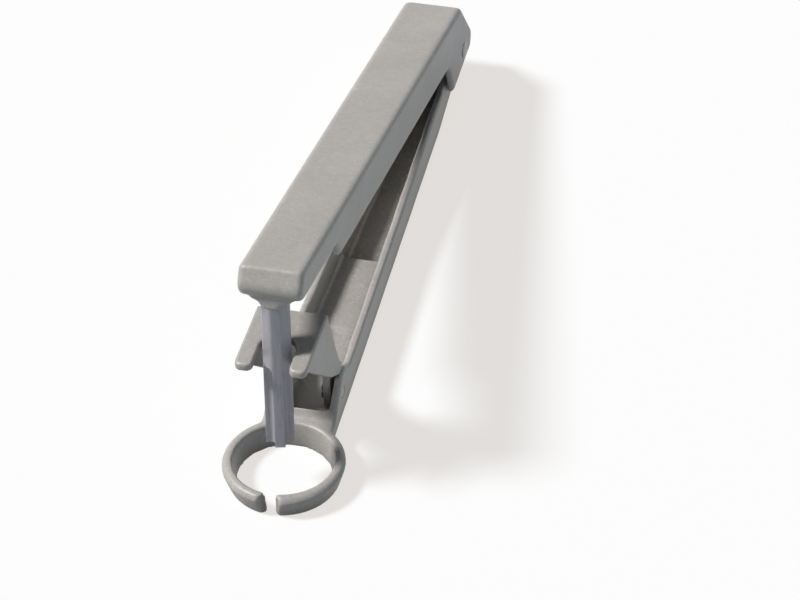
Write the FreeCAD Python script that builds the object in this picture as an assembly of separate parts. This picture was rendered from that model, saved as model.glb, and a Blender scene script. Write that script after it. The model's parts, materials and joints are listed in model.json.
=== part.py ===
"""Cherry pitter with lever: a cast arm with a split cup ring, a forked stripper above the
ring, and a cast lever that drives a faceted punch down through both.

Units are millimetres. X is to the right, Y runs from the cup ring (front, -Y) to the hinge
(rear, +Y) and Z is up. The origin is under the middle of the tool, on the plane that it
stands on. Everything is mirror-symmetric about X = 0 except the hinge's rivet head and
washer and the hand of the spring. The lever is built in its own frame, with its origin on
the hinge axis, and then turned to its angle at rest.
"""
import FreeCAD, Part
import math
import os

V = FreeCAD.Vector

# Fits and running gaps
RUNNING_GAP = 0.05
SIDE_GAP = 0.3
STOP_GAP = 0.3
SEAT_GAP = 0.05

# Cup ring
RING_OUTER_R = 14.0
RING_RIM_WALL = 2.4
RING_OUTER_DRAFT = 1.6
RING_BORE_DRAFT = 1.0
RING_HEIGHT = 6.2
RING_WALL_TOP = 5.0
RING_RIM_SLOPE = 1.0
RING_EDGE_R = 0.9
RING_FOOT_EDGE_R = 0.4
RING_SLOT_WIDTH = 1.8
RING_SLOT_FLARE = 2.4
RING_SLOT_CLEARANCE = 0.5

# Lower arm
RING_TO_HINGE = 146.7
HINGE_HEIGHT = 12.5
ARM_FRONT_HALF_WIDTH = 8.7
ARM_REAR_HALF_WIDTH = 5.9
ARM_TAPER_LENGTH = 114.0
ARM_DRAFT = 0.8
ARM_WALL = 1.8
ARM_FLOOR = 1.8
RAIL_HEIGHT = 11.3
ARM_BOTTOM_EDGE_R = 1.8
RAIL_EDGE_R = 0.6
ARM_START = 9.0
CHANNEL_START = 15.0
CHANNEL_CORNER_R = 1.0
RAIL_FOOT = 13.2
RING_JOIN_DROP = 0.2
RING_JOIN_R = 1.5
HUMP_HEIGHT = 14.8
HUMP_START = 19.5
HUMP_LENGTH = 3.4
HUMP_BACK_SLOPE = 5.0
HUMP_ROOT_R = 3.0
HUMP_TOP_R = 0.8
STEP_HEIGHT = 5.2
STEP_START = 46.2
STEP_LENGTH = 25.1
STEP_RAMP = 17.0
STEP_RAMP_R = 5.0
STEP_LIP = 0.8
STEP_LIP_DROP = 0.9
STEP_LIP_R = 0.5
STEP_EDGE_R = 0.2
STEP_BACK = 0.6

# Hinge end of the arm
EYE_R = 4.3
EYE_NECK = 9.0
EYE_NECK_R = 6.0
EYE_ROUNDING_GAP = 0.01
CHEEK_LENGTH = 16.5
KEEL_RISE = 3.6
KEEL_RISE_LENGTH = 19.0
KEEL_OUTER_R = 30.0
KEEL_INNER_LAG = 3.0
KEEL_INNER_DROP = 0.2
KEEL_INNER_R = 12.0
HEEL_LENGTH = 6.6
HEEL_EDGE_R = 0.6
HEEL_CHAMFER = 1.0
HEEL_CHAMFER_HEIGHT = 1.6
HEEL_WALL = 2.6
HEEL_INNER_R = 1.0

# Lever, measured from the hinge axis along (u) and square to (v) its top face
LEVER_REST_ANGLE = 13.27
LEVER_OPEN_TRAVEL = 7.0
LEVER_HALF_WIDTH = 7.3
LEVER_WALL = 1.5
LEVER_WEB = 1.8
LEVER_TOP = 13.4
LEVER_DEPTH = 11.8
NOSE_DEPTH = 7.5
NOSE_AHEAD = 6.35
NOSE_RAKE = 2.7
NOSE_CHIN_R = 3.1
NOSE_BLOCK_LENGTH = 13.0
NOTCH_BEHIND = 28.2
NOTCH_LENGTH = 3.2
NOTCH_LOW_R = 1.4
NOTCH_HIGH_R = 1.2
REAR_REACH = 8.6
REAR_SLOPE_LENGTH = 13.2
REAR_SLOPE_DROP = 11.2
REAR_TOP_R = 4.5
REAR_HEEL_R = 3.0
REAR_FOOT_DROP = 2.2
REAR_FOOT_INSET = 0.8
REAR_FOOT_R = 1.0
EAR_DROP = 7.6
EAR_LENGTH = 16.5
EAR_FOOT_LENGTH = 10.5
EAR_FOOT_R = 1.6
EAR_ROOT_R = 3.0
LEVER_EDGE_R = 1.4

# Punch and its socket in the lever's nose
PUNCH_LEAD = 0.65
PUNCH_ACROSS_FLATS = 6.3
PUNCH_TURN = 15.0
PUNCH_TIP_HEIGHT_CLOSED = 0.4
SOCKET_FLARE = 2.0
SOCKET_LENGTH = 2.3
SOCKET_RIM = 0.25
SOCKET_FRONT_LAP = 0.05
SOCKET_ROOT = 1.2
TENON_R = 2.4
TENON_LENGTH = 4.5
FLUTE_LENGTH = 20.0
FLUTE_DEPTH = 1.3
TIP_CUP_R = 6.0
TIP_CUP_DEPTH = 0.8

# Stripper fork
FORK_TOP = 37.7
FORK_PLATE = 2.0
FORK_HALF_WIDTH = 8.1
FORK_FRONT = 5.6
FORK_REAR = 14.2
FORK_TIP_R = 1.5
FORK_EDGE_R = 0.6
FORK_SLOT_R = 4.1
FORK_SLOT_CENTRE = 1.2
WEB_THICKNESS = 1.9
WEB_FRONT = 3.0
WEB_KNEE_Y = 14.0
WEB_KNEE_Z = 19.2
WEB_KNEE_R = 1.2
WEB_FOOT_INSET = 0.6
TAB_THICKNESS = 1.8
TAB_LENGTH = 5.0
TAB_BOTTOM = 4.6
TAB_ROOT = 2.6
RIVET_R = 1.2
RIVET_HEIGHT = 8.6
RIVET_HEAD_R = 1.9
RIVET_HEAD = 0.5

# Hinge pin and washer
PIN_R = 1.75
PIN_HEAD_R = 2.2
PIN_HEAD = 0.5
WASHER_R = 3.4
WASHER_THICKNESS = 0.5

# Return spring
WIRE_R = 0.45
COIL_GAP = 0.5
COIL_TURNS = 3
COIL_R = 3.0
LEG_REACH = 22.0

# Derived places
RING_FOOT_R = RING_OUTER_R - RING_OUTER_DRAFT
RING_RIM_INNER_R = RING_OUTER_R - RING_RIM_WALL
RING_FOOT_INNER_R = RING_RIM_INNER_R - RING_BORE_DRAFT
TOTAL_LENGTH = RING_OUTER_R + RING_TO_HINGE + REAR_REACH
RING_Y = RING_OUTER_R - TOTAL_LENGTH / 2
HINGE_Y = RING_Y + RING_TO_HINGE
HINGE = V(0, HINGE_Y, HINGE_HEIGHT)
LEVER_INNER_HALF_WIDTH = LEVER_HALF_WIDTH - LEVER_WALL
CHEEK_HALF_WIDTH = LEVER_INNER_HALF_WIDTH - SIDE_GAP
NOSE_BOTTOM = LEVER_TOP - NOSE_DEPTH
LEVER_BOTTOM = LEVER_TOP - LEVER_DEPTH
WEB_UNDERSIDE = LEVER_TOP - LEVER_WEB
PUNCH_R = PUNCH_ACROSS_FLATS / 2 / math.cos(math.pi / 8)
FAR = TOTAL_LENGTH * 2

# The lever closes until its lower edge meets the rear edge of the fork's plate
STOP_RUN = RING_TO_HINGE - FORK_REAR
STOP_RISE = FORK_TOP + STOP_GAP - HINGE_HEIGHT
CLOSED_ANGLE = math.degrees(
    math.atan2(STOP_RISE, STOP_RUN) - math.asin(NOSE_BOTTOM / math.hypot(STOP_RUN, STOP_RISE))
)

# The punch hangs upright over the cup ring when the lever is closed, just ahead of its middle
PUNCH_AT = (
    RING_TO_HINGE + PUNCH_LEAD + NOSE_BOTTOM * math.sin(math.radians(CLOSED_ANGLE))
) / math.cos(math.radians(CLOSED_ANGLE))
NOSE_REACH = PUNCH_AT + NOSE_AHEAD
NOTCH_AT = PUNCH_AT - NOTCH_BEHIND

# The lever opens until its rear wall meets the heel of the arm
OPEN_ANGLE = math.radians(LEVER_REST_ANGLE + LEVER_OPEN_TRAVEL)
HEEL_TOP = (
    HINGE_HEIGHT
    - (REAR_REACH - REAR_FOOT_INSET) * math.sin(OPEN_ANGLE)
    - REAR_FOOT_DROP * math.cos(OPEN_ANGLE)
    - STOP_GAP
)


def arm_half_width(y):
    """Half width of the arm's top, y millimetres behind the ring's centre."""
    start = RING_OUTER_R
    share = (y - start) / ARM_TAPER_LENGTH
    return ARM_FRONT_HALF_WIDTH + (ARM_REAR_HALF_WIDTH - ARM_FRONT_HALF_WIDTH) * share


def arm_draft(z):
    """How much narrower each side of the arm is at height z than at the top of its rails."""
    return ARM_DRAFT * (RAIL_HEIGHT - z) / RAIL_HEIGHT


def tab_outer():
    """Outer face of the fork's tabs, against the inside of the arm's walls."""
    wall = arm_half_width(HUMP_START + TAB_LENGTH) - ARM_WALL
    return wall - arm_draft(TAB_BOTTOM) - SEAT_GAP


def rounded_outline(corners):
    """Closed wire in the YZ plane through corners (y, z, radius), rounded by tangent arcs."""
    count = len(corners)
    starts = []
    ends = []
    middles = []
    for index in range(count):
        here = V(0, corners[index][0], corners[index][1])
        before = V(0, *corners[index - 1][:2])
        after = V(0, *corners[(index + 1) % count][:2])
        back = (before - here).normalize()
        on = (after - here).normalize()
        half = back.getAngle(on) / 2
        radius = corners[index][2]
        if radius == 0 or abs(half - math.pi / 2) < 1e-6:
            starts.append(here)
            ends.append(here)
            middles.append(None)
            continue
        reach = radius / math.tan(half)
        inward = (back + on).normalize()
        starts.append(here + back * reach)
        ends.append(here + on * reach)
        middles.append(here + inward * (radius / math.sin(half) - radius))
    edges = []
    for index in range(count):
        if middles[index] is not None:
            edges.append(Part.Arc(starts[index], middles[index], ends[index]).toShape())
        leave = ends[index]
        arrive = starts[(index + 1) % count]
        if (arrive - leave).Length > 1e-6:
            edges.append(Part.LineSegment(leave, arrive).toShape())
    return Part.Wire(edges)


def slab(corners, x_low, x_high):
    """Solid between two X planes with a rounded YZ outline."""
    face = Part.Face(rounded_outline(corners))
    face.translate(V(x_low, 0, 0))
    return face.extrude(V(x_high - x_low, 0, 0))


def cylinder_x(centre, radius, x_low, x_high):
    """Cylinder along X between two X values, on the axis through centre."""
    return Part.makeCylinder(radius, x_high - x_low, V(x_low, centre.y, centre.z), V(1, 0, 0))


def plan_prism(half_front, half_rear, y_front, y_rear, bottom, top):
    """Tapered prism with drafted flat sides, of the given half widths at rail height."""
    def corners(z):
        less = arm_draft(z)
        return [
            V(-half_front + less, y_front, z),
            V(half_front - less, y_front, z),
            V(half_rear - less, y_rear, z),
            V(-half_rear + less, y_rear, z),
        ]

    low = corners(bottom)
    high = corners(top)
    loops = [low[::-1], high]
    for index in range(4):
        following = (index + 1) % 4
        loops.append([low[index], low[following], high[following], high[index]])
    faces = [Part.Face(Part.makePolygon(loop + loop[:1])) for loop in loops]
    return Part.Solid(Part.Shell(faces))


def mirrored(solid):
    """The same solid on the other side of X = 0."""
    return solid.mirror(V(0, 0, 0), V(1, 0, 0))


def lever_to_world(solid):
    """Turn a solid built in the lever's frame (u forward, v up) to its place at rest."""
    placed = solid.copy()
    placed.rotate(V(0, 0, 0), V(1, 0, 0), -LEVER_REST_ANGLE)
    placed.translate(HINGE)
    return placed


def lever_slab(corners, x_low, x_high):
    """Slab from (u, v, radius) corners of the lever's frame, where u is minus Y."""
    return slab([(-u, v, radius) for u, v, radius in corners], x_low, x_high)


def fillet_edges(solid, radius, wanted):
    """Fillet the edges whose middle and direction satisfy wanted(edge)."""
    edges = [edge for edge in solid.Edges if wanted(edge)]
    return solid.makeFillet(radius, edges)


def edge_middle(edge):
    """Point at the middle of an edge's parameter range."""
    return edge.valueAt((edge.FirstParameter + edge.LastParameter) / 2)


def ring_body():
    """Cup ring: tapered wall with a rounded rim, before its slot is cut."""
    section = rounded_outline([
        (RING_FOOT_INNER_R, 0, 0),
        (RING_FOOT_R, 0, RING_FOOT_EDGE_R),
        (RING_OUTER_R, RING_WALL_TOP, RING_EDGE_R),
        (RING_OUTER_R - RING_RIM_SLOPE, RING_HEIGHT, RING_EDGE_R),
        (RING_RIM_INNER_R, RING_HEIGHT, 0),
    ])
    ring = Part.Face(section).revolve(V(0, 0, 0), V(0, 0, 1), 360)
    ring.translate(V(0, RING_Y, 0))
    return ring


def ring_hollow():
    """Open inside of the cup ring, with clear space above it."""
    cone = Part.makeCone(RING_FOOT_INNER_R, RING_RIM_INNER_R, RING_HEIGHT, V(0, RING_Y, 0))
    above = Part.makeCylinder(RING_RIM_INNER_R, RING_HEIGHT * 3, V(0, RING_Y, RING_HEIGHT))
    return cone.fuse(above)


def ring_slot():
    """Slot through the front of the cup ring, wider at the outside of the wall."""
    inner = RING_SLOT_WIDTH / 2
    outer = inner + RING_SLOT_FLARE
    back = RING_Y - RING_FOOT_INNER_R + RING_RIM_WALL
    edge = RING_Y - (RING_FOOT_INNER_R + RING_RIM_INNER_R) / 2
    front = RING_Y - RING_OUTER_R - RING_SLOT_CLEARANCE
    low = -RING_HEIGHT
    points = [
        V(-inner, back, low), V(-inner, edge, low), V(-outer, front, low),
        V(outer, front, low), V(inner, edge, low), V(inner, back, low),
    ]
    face = Part.Face(Part.makePolygon(points + points[:1]))
    return face.extrude(V(0, 0, RING_HEIGHT * 3))


def arm_side_outline():
    """Side view of the arm's walls, from the ring to the heel behind the hinge."""
    y = RING_Y
    hump_end = y + HUMP_START + HUMP_LENGTH
    eye_rounding = EYE_R - EYE_ROUNDING_GAP
    return [
        (y + ARM_START, 0, 0),
        (HINGE_Y - KEEL_RISE_LENGTH, 0, KEEL_OUTER_R),
        (HINGE_Y + HEEL_LENGTH - HEEL_CHAMFER, KEEL_RISE, 0),
        (HINGE_Y + HEEL_LENGTH, KEEL_RISE + HEEL_CHAMFER_HEIGHT, 0),
        (HINGE_Y + HEEL_LENGTH, HEEL_TOP, HEEL_EDGE_R),
        (HINGE_Y + EYE_R, HEEL_TOP, HEEL_EDGE_R),
        (HINGE_Y + EYE_R, HINGE_HEIGHT + EYE_R, eye_rounding),
        (HINGE_Y - EYE_R, HINGE_HEIGHT + EYE_R, eye_rounding),
        (HINGE_Y - EYE_R - EYE_NECK, RAIL_HEIGHT, EYE_NECK_R),
        (hump_end + HUMP_BACK_SLOPE, RAIL_HEIGHT, HUMP_ROOT_R),
        (hump_end, HUMP_HEIGHT, HUMP_TOP_R),
        (y + HUMP_START, HUMP_HEIGHT, HUMP_TOP_R),
        (y + RAIL_FOOT, RING_HEIGHT - RING_JOIN_DROP, RING_JOIN_R),
        (y + ARM_START, RING_HEIGHT - RING_JOIN_DROP, 0),
    ]


def channel_outline():
    """Side view of the channel between the walls: floor ramp, raised step and recess."""
    y = RING_Y
    step_end = y + STEP_START + STEP_LENGTH
    heel_inner = HINGE_Y + HEEL_LENGTH - HEEL_WALL
    top = HINGE_HEIGHT * 3
    return [
        (y + CHANNEL_START, ARM_FLOOR, CHANNEL_CORNER_R),
        (y + STEP_START - STEP_RAMP, ARM_FLOOR, STEP_RAMP_R),
        (y + STEP_START - STEP_LIP, STEP_HEIGHT - STEP_LIP_DROP, STEP_LIP_R),
        (y + STEP_START, STEP_HEIGHT, STEP_EDGE_R),
        (step_end, STEP_HEIGHT, STEP_EDGE_R),
        (step_end + STEP_BACK, ARM_FLOOR, STEP_BACK),
        (HINGE_Y - KEEL_RISE_LENGTH + KEEL_INNER_LAG, ARM_FLOOR, KEEL_INNER_R),
        (heel_inner, ARM_FLOOR + KEEL_RISE - KEEL_INNER_DROP, HEEL_INNER_R),
        (heel_inner, HEEL_TOP, 0),
        (heel_inner, top, 0),
        (y + CHANNEL_START, top, 0),
    ]


def rivet_centre():
    """Middle of the fork's rivet, on the arm's side wall."""
    return V(0, RING_Y + HUMP_START + HUMP_LENGTH / 2, RIVET_HEIGHT)


def lower_arm():
    """Arm: an open channel that carries the cup ring in front and the hinge eyes behind."""
    rear = HINGE_Y + HEEL_LENGTH
    front = RING_Y + ARM_START
    half_front = arm_half_width(front - RING_Y)
    half_rear = arm_half_width(rear - RING_Y)
    top = HUMP_HEIGHT + HINGE_HEIGHT
    plan = plan_prism(half_front, half_rear, front, rear, 0, top)
    body = slab(arm_side_outline(), -half_front * 2, half_front * 2).common(plan)

    def is_bottom_edge(edge):
        middle = edge_middle(edge)
        lengthwise = edge.BoundBox.YLength > HEEL_CHAMFER * 1.5
        return lengthwise and abs(middle.x) > ARM_WALL and middle.z < KEEL_RISE

    body = fillet_edges(body, ARM_BOTTOM_EDGE_R, is_bottom_edge)

    def is_rail_edge(edge):
        middle = edge_middle(edge)
        long = edge.BoundBox.YLength > RING_TO_HINGE / 4
        return long and abs(middle.z - RAIL_HEIGHT) < 0.01

    body = fillet_edges(body, RAIL_EDGE_R, is_rail_edge)
    for x_start in (CHEEK_HALF_WIDTH, -CHEEK_HALF_WIDTH - half_front):
        beside = Part.makeBox(half_front, FAR, FAR)
        beside.translate(V(x_start, HINGE_Y - CHEEK_LENGTH, -1.0))
        body = body.cut(beside)
    inner = plan_prism(half_front - ARM_WALL, half_rear - ARM_WALL, front, rear, 0, top)
    channel = slab(channel_outline(), -half_front * 2, half_front * 2).common(inner)
    body = body.cut(channel)
    body = body.fuse(ring_body()).cut(ring_hollow())
    body = body.cut(ring_slot())
    body = body.cut(cylinder_x(HINGE, PIN_R + RUNNING_GAP, -FAR, FAR))
    body = body.cut(cylinder_x(rivet_centre(), RIVET_R, -FAR, FAR))
    return body.removeSplitter()


def fork_web_outline():
    """Side view of one upright of the fork, from the plate to its foot on the arm."""
    y = RING_Y
    return [
        (y - WEB_FRONT, FORK_TOP - FORK_PLATE, 0),
        (y + WEB_KNEE_Y, WEB_KNEE_Z, WEB_KNEE_R),
        (y + HUMP_START + WEB_FOOT_INSET, HUMP_HEIGHT, 0),
        (y + HUMP_START + HUMP_LENGTH - WEB_FOOT_INSET, HUMP_HEIGHT, 0),
        (y + FORK_REAR, FORK_TOP - FORK_PLATE, 0),
    ]


def stripper_fork():
    """Fork: a slotted plate that holds the fruit back, on two uprights riveted to the arm."""
    y = RING_Y
    plate = Part.makeBox(
        FORK_HALF_WIDTH * 2, FORK_FRONT + FORK_REAR, FORK_PLATE,
        V(-FORK_HALF_WIDTH, y - FORK_FRONT, FORK_TOP - FORK_PLATE),
    )
    slot_y = y + FORK_SLOT_CENTRE
    bore = Part.makeCylinder(FORK_SLOT_R, FORK_TOP * 2, V(0, slot_y, 0))
    mouth = Part.makeBox(
        FORK_SLOT_R * 2, FORK_FRONT * 3, FORK_TOP * 2, V(-FORK_SLOT_R, slot_y - FORK_FRONT * 3, 0),
    )
    plate = plate.cut(bore).cut(mouth)

    def is_tip_corner(edge):
        middle = edge_middle(edge)
        upright = edge.BoundBox.ZLength > FORK_PLATE * 0.9
        return upright and abs(middle.y - y + FORK_FRONT) < 0.01

    plate = fillet_edges(plate, FORK_TIP_R, is_tip_corner)
    rim = FORK_TOP - 0.01
    plate = fillet_edges(plate, FORK_EDGE_R, lambda edge: edge_middle(edge).z > rim)
    fork = plate
    foot_y = y + HUMP_START + HUMP_LENGTH / 2
    arm_inner = tab_outer()
    bridge_length = HUMP_LENGTH - WEB_FOOT_INSET * 2
    for side in (1, -1):
        web = slab(fork_web_outline(), FORK_HALF_WIDTH - WEB_THICKNESS, FORK_HALF_WIDTH)
        tab = Part.makeBox(
            TAB_THICKNESS, TAB_LENGTH, HUMP_HEIGHT + TAB_ROOT - TAB_BOTTOM,
            V(arm_inner - TAB_THICKNESS, foot_y - TAB_LENGTH / 2, TAB_BOTTOM),
        )
        bridge = Part.makeBox(
            FORK_HALF_WIDTH - arm_inner + TAB_THICKNESS, bridge_length, TAB_ROOT,
            V(arm_inner - TAB_THICKNESS, foot_y - bridge_length / 2, HUMP_HEIGHT),
        )
        upright = web.fuse(tab).fuse(bridge)
        fork = fork.fuse(upright if side > 0 else mirrored(upright))
    fork = fork.cut(cylinder_x(rivet_centre(), RIVET_R, -FAR, FAR))
    return fork.removeSplitter()


def fork_rivets():
    """Two flush rivets through the arm's walls and the fork's tabs, as separate solids."""
    centre = rivet_centre()
    outer = arm_half_width(centre.y + RIVET_R - RING_Y) - arm_draft(RIVET_HEIGHT - RIVET_R)
    inner = tab_outer() - TAB_THICKNESS
    shank = cylinder_x(centre, RIVET_R, inner, outer)
    head = cylinder_x(centre, RIVET_HEAD_R, inner - RIVET_HEAD, inner)
    rivet = shank.fuse(head).removeSplitter()
    return Part.makeCompound([rivet, mirrored(rivet)])


def lever_side_outline():
    """Side view of the lever: top face, raked nose, stepped lower edge and hinge ears."""
    return [
        (REAR_SLOPE_LENGTH - REAR_REACH, LEVER_TOP, REAR_TOP_R),
        (-REAR_REACH, LEVER_TOP - REAR_SLOPE_DROP, REAR_HEEL_R),
        (REAR_FOOT_INSET - REAR_REACH, -REAR_FOOT_DROP, REAR_FOOT_R),
        (EAR_FOOT_LENGTH, -EAR_DROP, EAR_FOOT_R),
        (EAR_LENGTH, LEVER_BOTTOM, EAR_ROOT_R),
        (NOTCH_AT, LEVER_BOTTOM, NOTCH_LOW_R),
        (NOTCH_AT + NOTCH_LENGTH, NOSE_BOTTOM, NOTCH_HIGH_R),
        (NOSE_REACH, NOSE_BOTTOM, NOSE_CHIN_R),
        (NOSE_REACH - NOSE_RAKE, LEVER_TOP, 0),
    ]


def lever_hollow_outline():
    """Side view of the space under the lever's top web, open downwards."""
    inset = LEVER_WALL
    return [
        (NOSE_REACH - NOSE_BLOCK_LENGTH, WEB_UNDERSIDE, 1.5),
        (REAR_SLOPE_LENGTH - REAR_REACH + 0.8, WEB_UNDERSIDE, 3.5),
        (-REAR_REACH + inset, LEVER_TOP - REAR_SLOPE_DROP - 0.6, 2.0),
        (-REAR_REACH + inset, -HINGE_HEIGHT * 2, 0),
        (NOSE_REACH - NOSE_BLOCK_LENGTH, -HINGE_HEIGHT * 2, 0),
    ]


def punch_axis():
    """Root of the punch and its downward direction, in the lever's frame."""
    tilt = math.radians(CLOSED_ANGLE)
    root = V(0, -PUNCH_AT, NOSE_BOTTOM)
    down = V(0, math.sin(tilt), -math.cos(tilt))
    return root, down


def punch_length():
    """Length below the nose that puts the tip at its height when the lever is closed."""
    tilt = math.radians(CLOSED_ANGLE)
    root_height = HINGE_HEIGHT + PUNCH_AT * math.sin(tilt) + NOSE_BOTTOM * math.cos(tilt)
    return root_height - PUNCH_TIP_HEIGHT_CLOSED


def along_punch(solid):
    """Move a solid built down the -Z axis from the origin onto the punch's axis."""
    root, down = punch_axis()
    placed = solid.copy()
    placed.rotate(V(0, 0, 0), V(1, 0, 0), CLOSED_ANGLE)
    placed.translate(root)
    return placed


def punch_socket():
    """Flared boss under the nose that takes the top of the punch, flat in front."""
    low_r = PUNCH_R + SOCKET_RIM
    top_r = low_r + SOCKET_FLARE
    edges = [
        Part.LineSegment(V(0, 0, SOCKET_ROOT), V(top_r, 0, SOCKET_ROOT)).toShape(),
        Part.LineSegment(V(top_r, 0, SOCKET_ROOT), V(top_r, 0, 0)).toShape(),
        Part.Arc(
            V(top_r, 0, 0),
            V(low_r + SOCKET_FLARE * 0.3, 0, -SOCKET_LENGTH * 0.32),
            V(low_r, 0, -SOCKET_LENGTH),
        ).toShape(),
        Part.LineSegment(V(low_r, 0, -SOCKET_LENGTH), V(0, 0, -SOCKET_LENGTH)).toShape(),
        Part.LineSegment(V(0, 0, -SOCKET_LENGTH), V(0, 0, SOCKET_ROOT)).toShape(),
    ]
    boss = Part.Face(Part.Wire(edges)).revolve(V(0, 0, 0), V(0, 0, 1), 360)
    front = Part.makeBox(
        top_r * 2, top_r, SOCKET_LENGTH + SOCKET_ROOT * 2,
        V(-top_r, -PUNCH_R - SOCKET_FRONT_LAP - top_r, -SOCKET_LENGTH),
    )
    return along_punch(boss.cut(front))


def tenon():
    """Round top of the punch, held in the nose above the socket's mouth."""
    return Part.makeCylinder(
        TENON_R, TENON_LENGTH + SOCKET_LENGTH, V(0, 0, -SOCKET_LENGTH), V(0, 0, 1),
    )


def upper_lever():
    """Lever: an inverted channel with a solid nose, a punch socket and hinge ears."""
    body = lever_slab(lever_side_outline(), -LEVER_HALF_WIDTH, LEVER_HALF_WIDTH)

    def is_outer_edge(edge):
        middle = edge_middle(edge)
        on_side = abs(abs(middle.x) - LEVER_HALF_WIDTH) < 0.01
        flat = edge.BoundBox.XLength < 0.01
        u = -middle.y
        top_or_rear = middle.z > LEVER_TOP - 0.01
        slope = u < EAR_FOOT_LENGTH and middle.z > -REAR_FOOT_DROP
        front = u > NOSE_REACH - NOSE_RAKE and middle.z > NOSE_BOTTOM + SEAT_GAP
        return on_side and flat and (top_or_rear or slope or front)

    body = fillet_edges(body, LEVER_EDGE_R, is_outer_edge)
    hollow = lever_slab(lever_hollow_outline(), -LEVER_INNER_HALF_WIDTH, LEVER_INNER_HALF_WIDTH)
    body = body.cut(hollow)
    body = body.fuse(punch_socket())
    body = body.cut(along_punch(tenon()))
    body = body.cut(cylinder_x(V(0, 0, 0), PIN_R, -FAR, FAR))
    return lever_to_world(body.removeSplitter())


def octagon(radius, z):
    """Closed octagon wire at height z, turned about the punch's axis."""
    points = []
    for index in range(8):
        angle = math.radians(22.5 + 45.0 * index + PUNCH_TURN)
        points.append(V(radius * math.cos(angle), radius * math.sin(angle), z))
    return Part.makePolygon(points + points[:1])


def punch():
    """Punch: an eight-sided bar with four flutes and a dished end, and a round tenon."""
    length = punch_length()
    shank = Part.Face(octagon(PUNCH_R, -length)).extrude(V(0, 0, length - SOCKET_LENGTH))
    for index in range(4):
        angle = math.radians(45.0 + 90.0 * index + PUNCH_TURN)
        out = PUNCH_ACROSS_FLATS / 2
        flute = Part.makeCylinder(FLUTE_DEPTH, FLUTE_LENGTH + 1.0, V(0, 0, -length - 1.0))
        flute = flute.fuse(Part.makeSphere(FLUTE_DEPTH, V(0, 0, FLUTE_LENGTH - length)))
        flute.translate(V(out * math.cos(angle), out * math.sin(angle), 0))
        shank = shank.cut(flute)
    dish = Part.makeSphere(TIP_CUP_R, V(0, 0, -length - TIP_CUP_R + TIP_CUP_DEPTH))
    shank = shank.cut(dish)
    body = shank.fuse(tenon()).removeSplitter()
    return lever_to_world(along_punch(body))


def hinge_pin():
    """Hinge pin with a low head on the right, riveted over the washer on the left."""
    left = -LEVER_HALF_WIDTH - WASHER_THICKNESS
    shank = cylinder_x(HINGE, PIN_R, left - PIN_HEAD, LEVER_HALF_WIDTH + PIN_HEAD)
    head = cylinder_x(HINGE, PIN_HEAD_R, LEVER_HALF_WIDTH, LEVER_HALF_WIDTH + PIN_HEAD)
    riveted = cylinder_x(HINGE, PIN_HEAD_R, left - PIN_HEAD, left)
    return shank.fuse(head).fuse(riveted).removeSplitter()


def hinge_washer():
    """Washer under the riveted end of the hinge pin."""
    left = -LEVER_HALF_WIDTH - WASHER_THICKNESS
    disc = cylinder_x(HINGE, WASHER_R, left, -LEVER_HALF_WIDTH)
    return disc.cut(cylinder_x(HINGE, PIN_R, left - 1.0, -LEVER_HALF_WIDTH + 1.0))


def arc_from_tangent(start, tangent, end):
    """Arc from start along a unit tangent to end, or a line if they are in line."""
    chord = end - start
    along = V(chord).normalize()
    aside = tangent - along * tangent.dot(along)
    if aside.Length < 1e-9:
        return Part.LineSegment(start, end).toShape()
    turn = tangent.getAngle(along)
    middle = start + chord * 0.5 + aside.normalize() * (chord.Length / 2 * math.tan(turn / 2))
    return Part.Arc(start, middle, end).toShape()


def biarc(start, start_way, end, end_way):
    """Two tangent arcs between two points with given unit directions."""
    gap = end - start
    both = start_way + end_way
    spread = 2 * (1 - start_way.dot(end_way))
    reach = (math.sqrt(gap.dot(both) ** 2 + spread * gap.dot(gap)) - gap.dot(both)) / spread
    joint = (start + start_way * reach + end - end_way * reach) * 0.5
    first = arc_from_tangent(start, start_way, joint)
    second = arc_from_tangent(end, end_way * -1, joint)
    return [first, second]


def leg_slope(height):
    """Angle at which a leg of the spring reaches a height away from the hinge axis."""
    span = math.hypot(LEG_REACH, COIL_R)
    return math.asin(height / span) - math.atan2(COIL_R, LEG_REACH)


def coil_point(turn, at_end):
    """Point and unit direction on the coil after a number of turns, level at its ends."""
    pitch = WIRE_R * 2 + COIL_GAP
    angle = 2 * math.pi * turn + LOWER_LEG_SLOPE - math.pi / 2
    x = pitch * (turn - COIL_TOTAL / 2)
    point = HINGE + V(x, COIL_R * math.cos(angle), COIL_R * math.sin(angle))
    lead = 0 if at_end else pitch / (2 * math.pi)
    way = V(lead, -COIL_R * math.sin(angle), COIL_R * math.cos(angle))
    return point, way.normalize()


LOWER_LEG_SLOPE = leg_slope(HINGE_HEIGHT - ARM_FLOOR - WIRE_R - SEAT_GAP)
UPPER_LEG_SLOPE = leg_slope(WEB_UNDERSIDE - WIRE_R - SEAT_GAP) + math.radians(LEVER_REST_ANGLE)
COIL_TOTAL = COIL_TURNS + 0.5 - (LOWER_LEG_SLOPE + UPPER_LEG_SLOPE) / (2 * math.pi)


def spring_path():
    """Edges of the spring's wire: lower leg, turns about the pin, upper leg."""
    steps = int(math.ceil(COIL_TOTAL * 4))
    stations = []
    for index in range(steps + 1):
        stations.append(coil_point(COIL_TOTAL * index / steps, index in (0, steps)))
    edges = []
    for here, there in zip(stations, stations[1:]):
        edges += biarc(*here, *there)
    first, first_way = stations[0]
    last, last_way = stations[-1]
    lower_end = first - first_way * LEG_REACH
    upper_end = last + last_way * LEG_REACH
    edges.insert(0, Part.LineSegment(lower_end, first).toShape())
    edges.append(Part.LineSegment(last, upper_end).toShape())
    return edges


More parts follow.
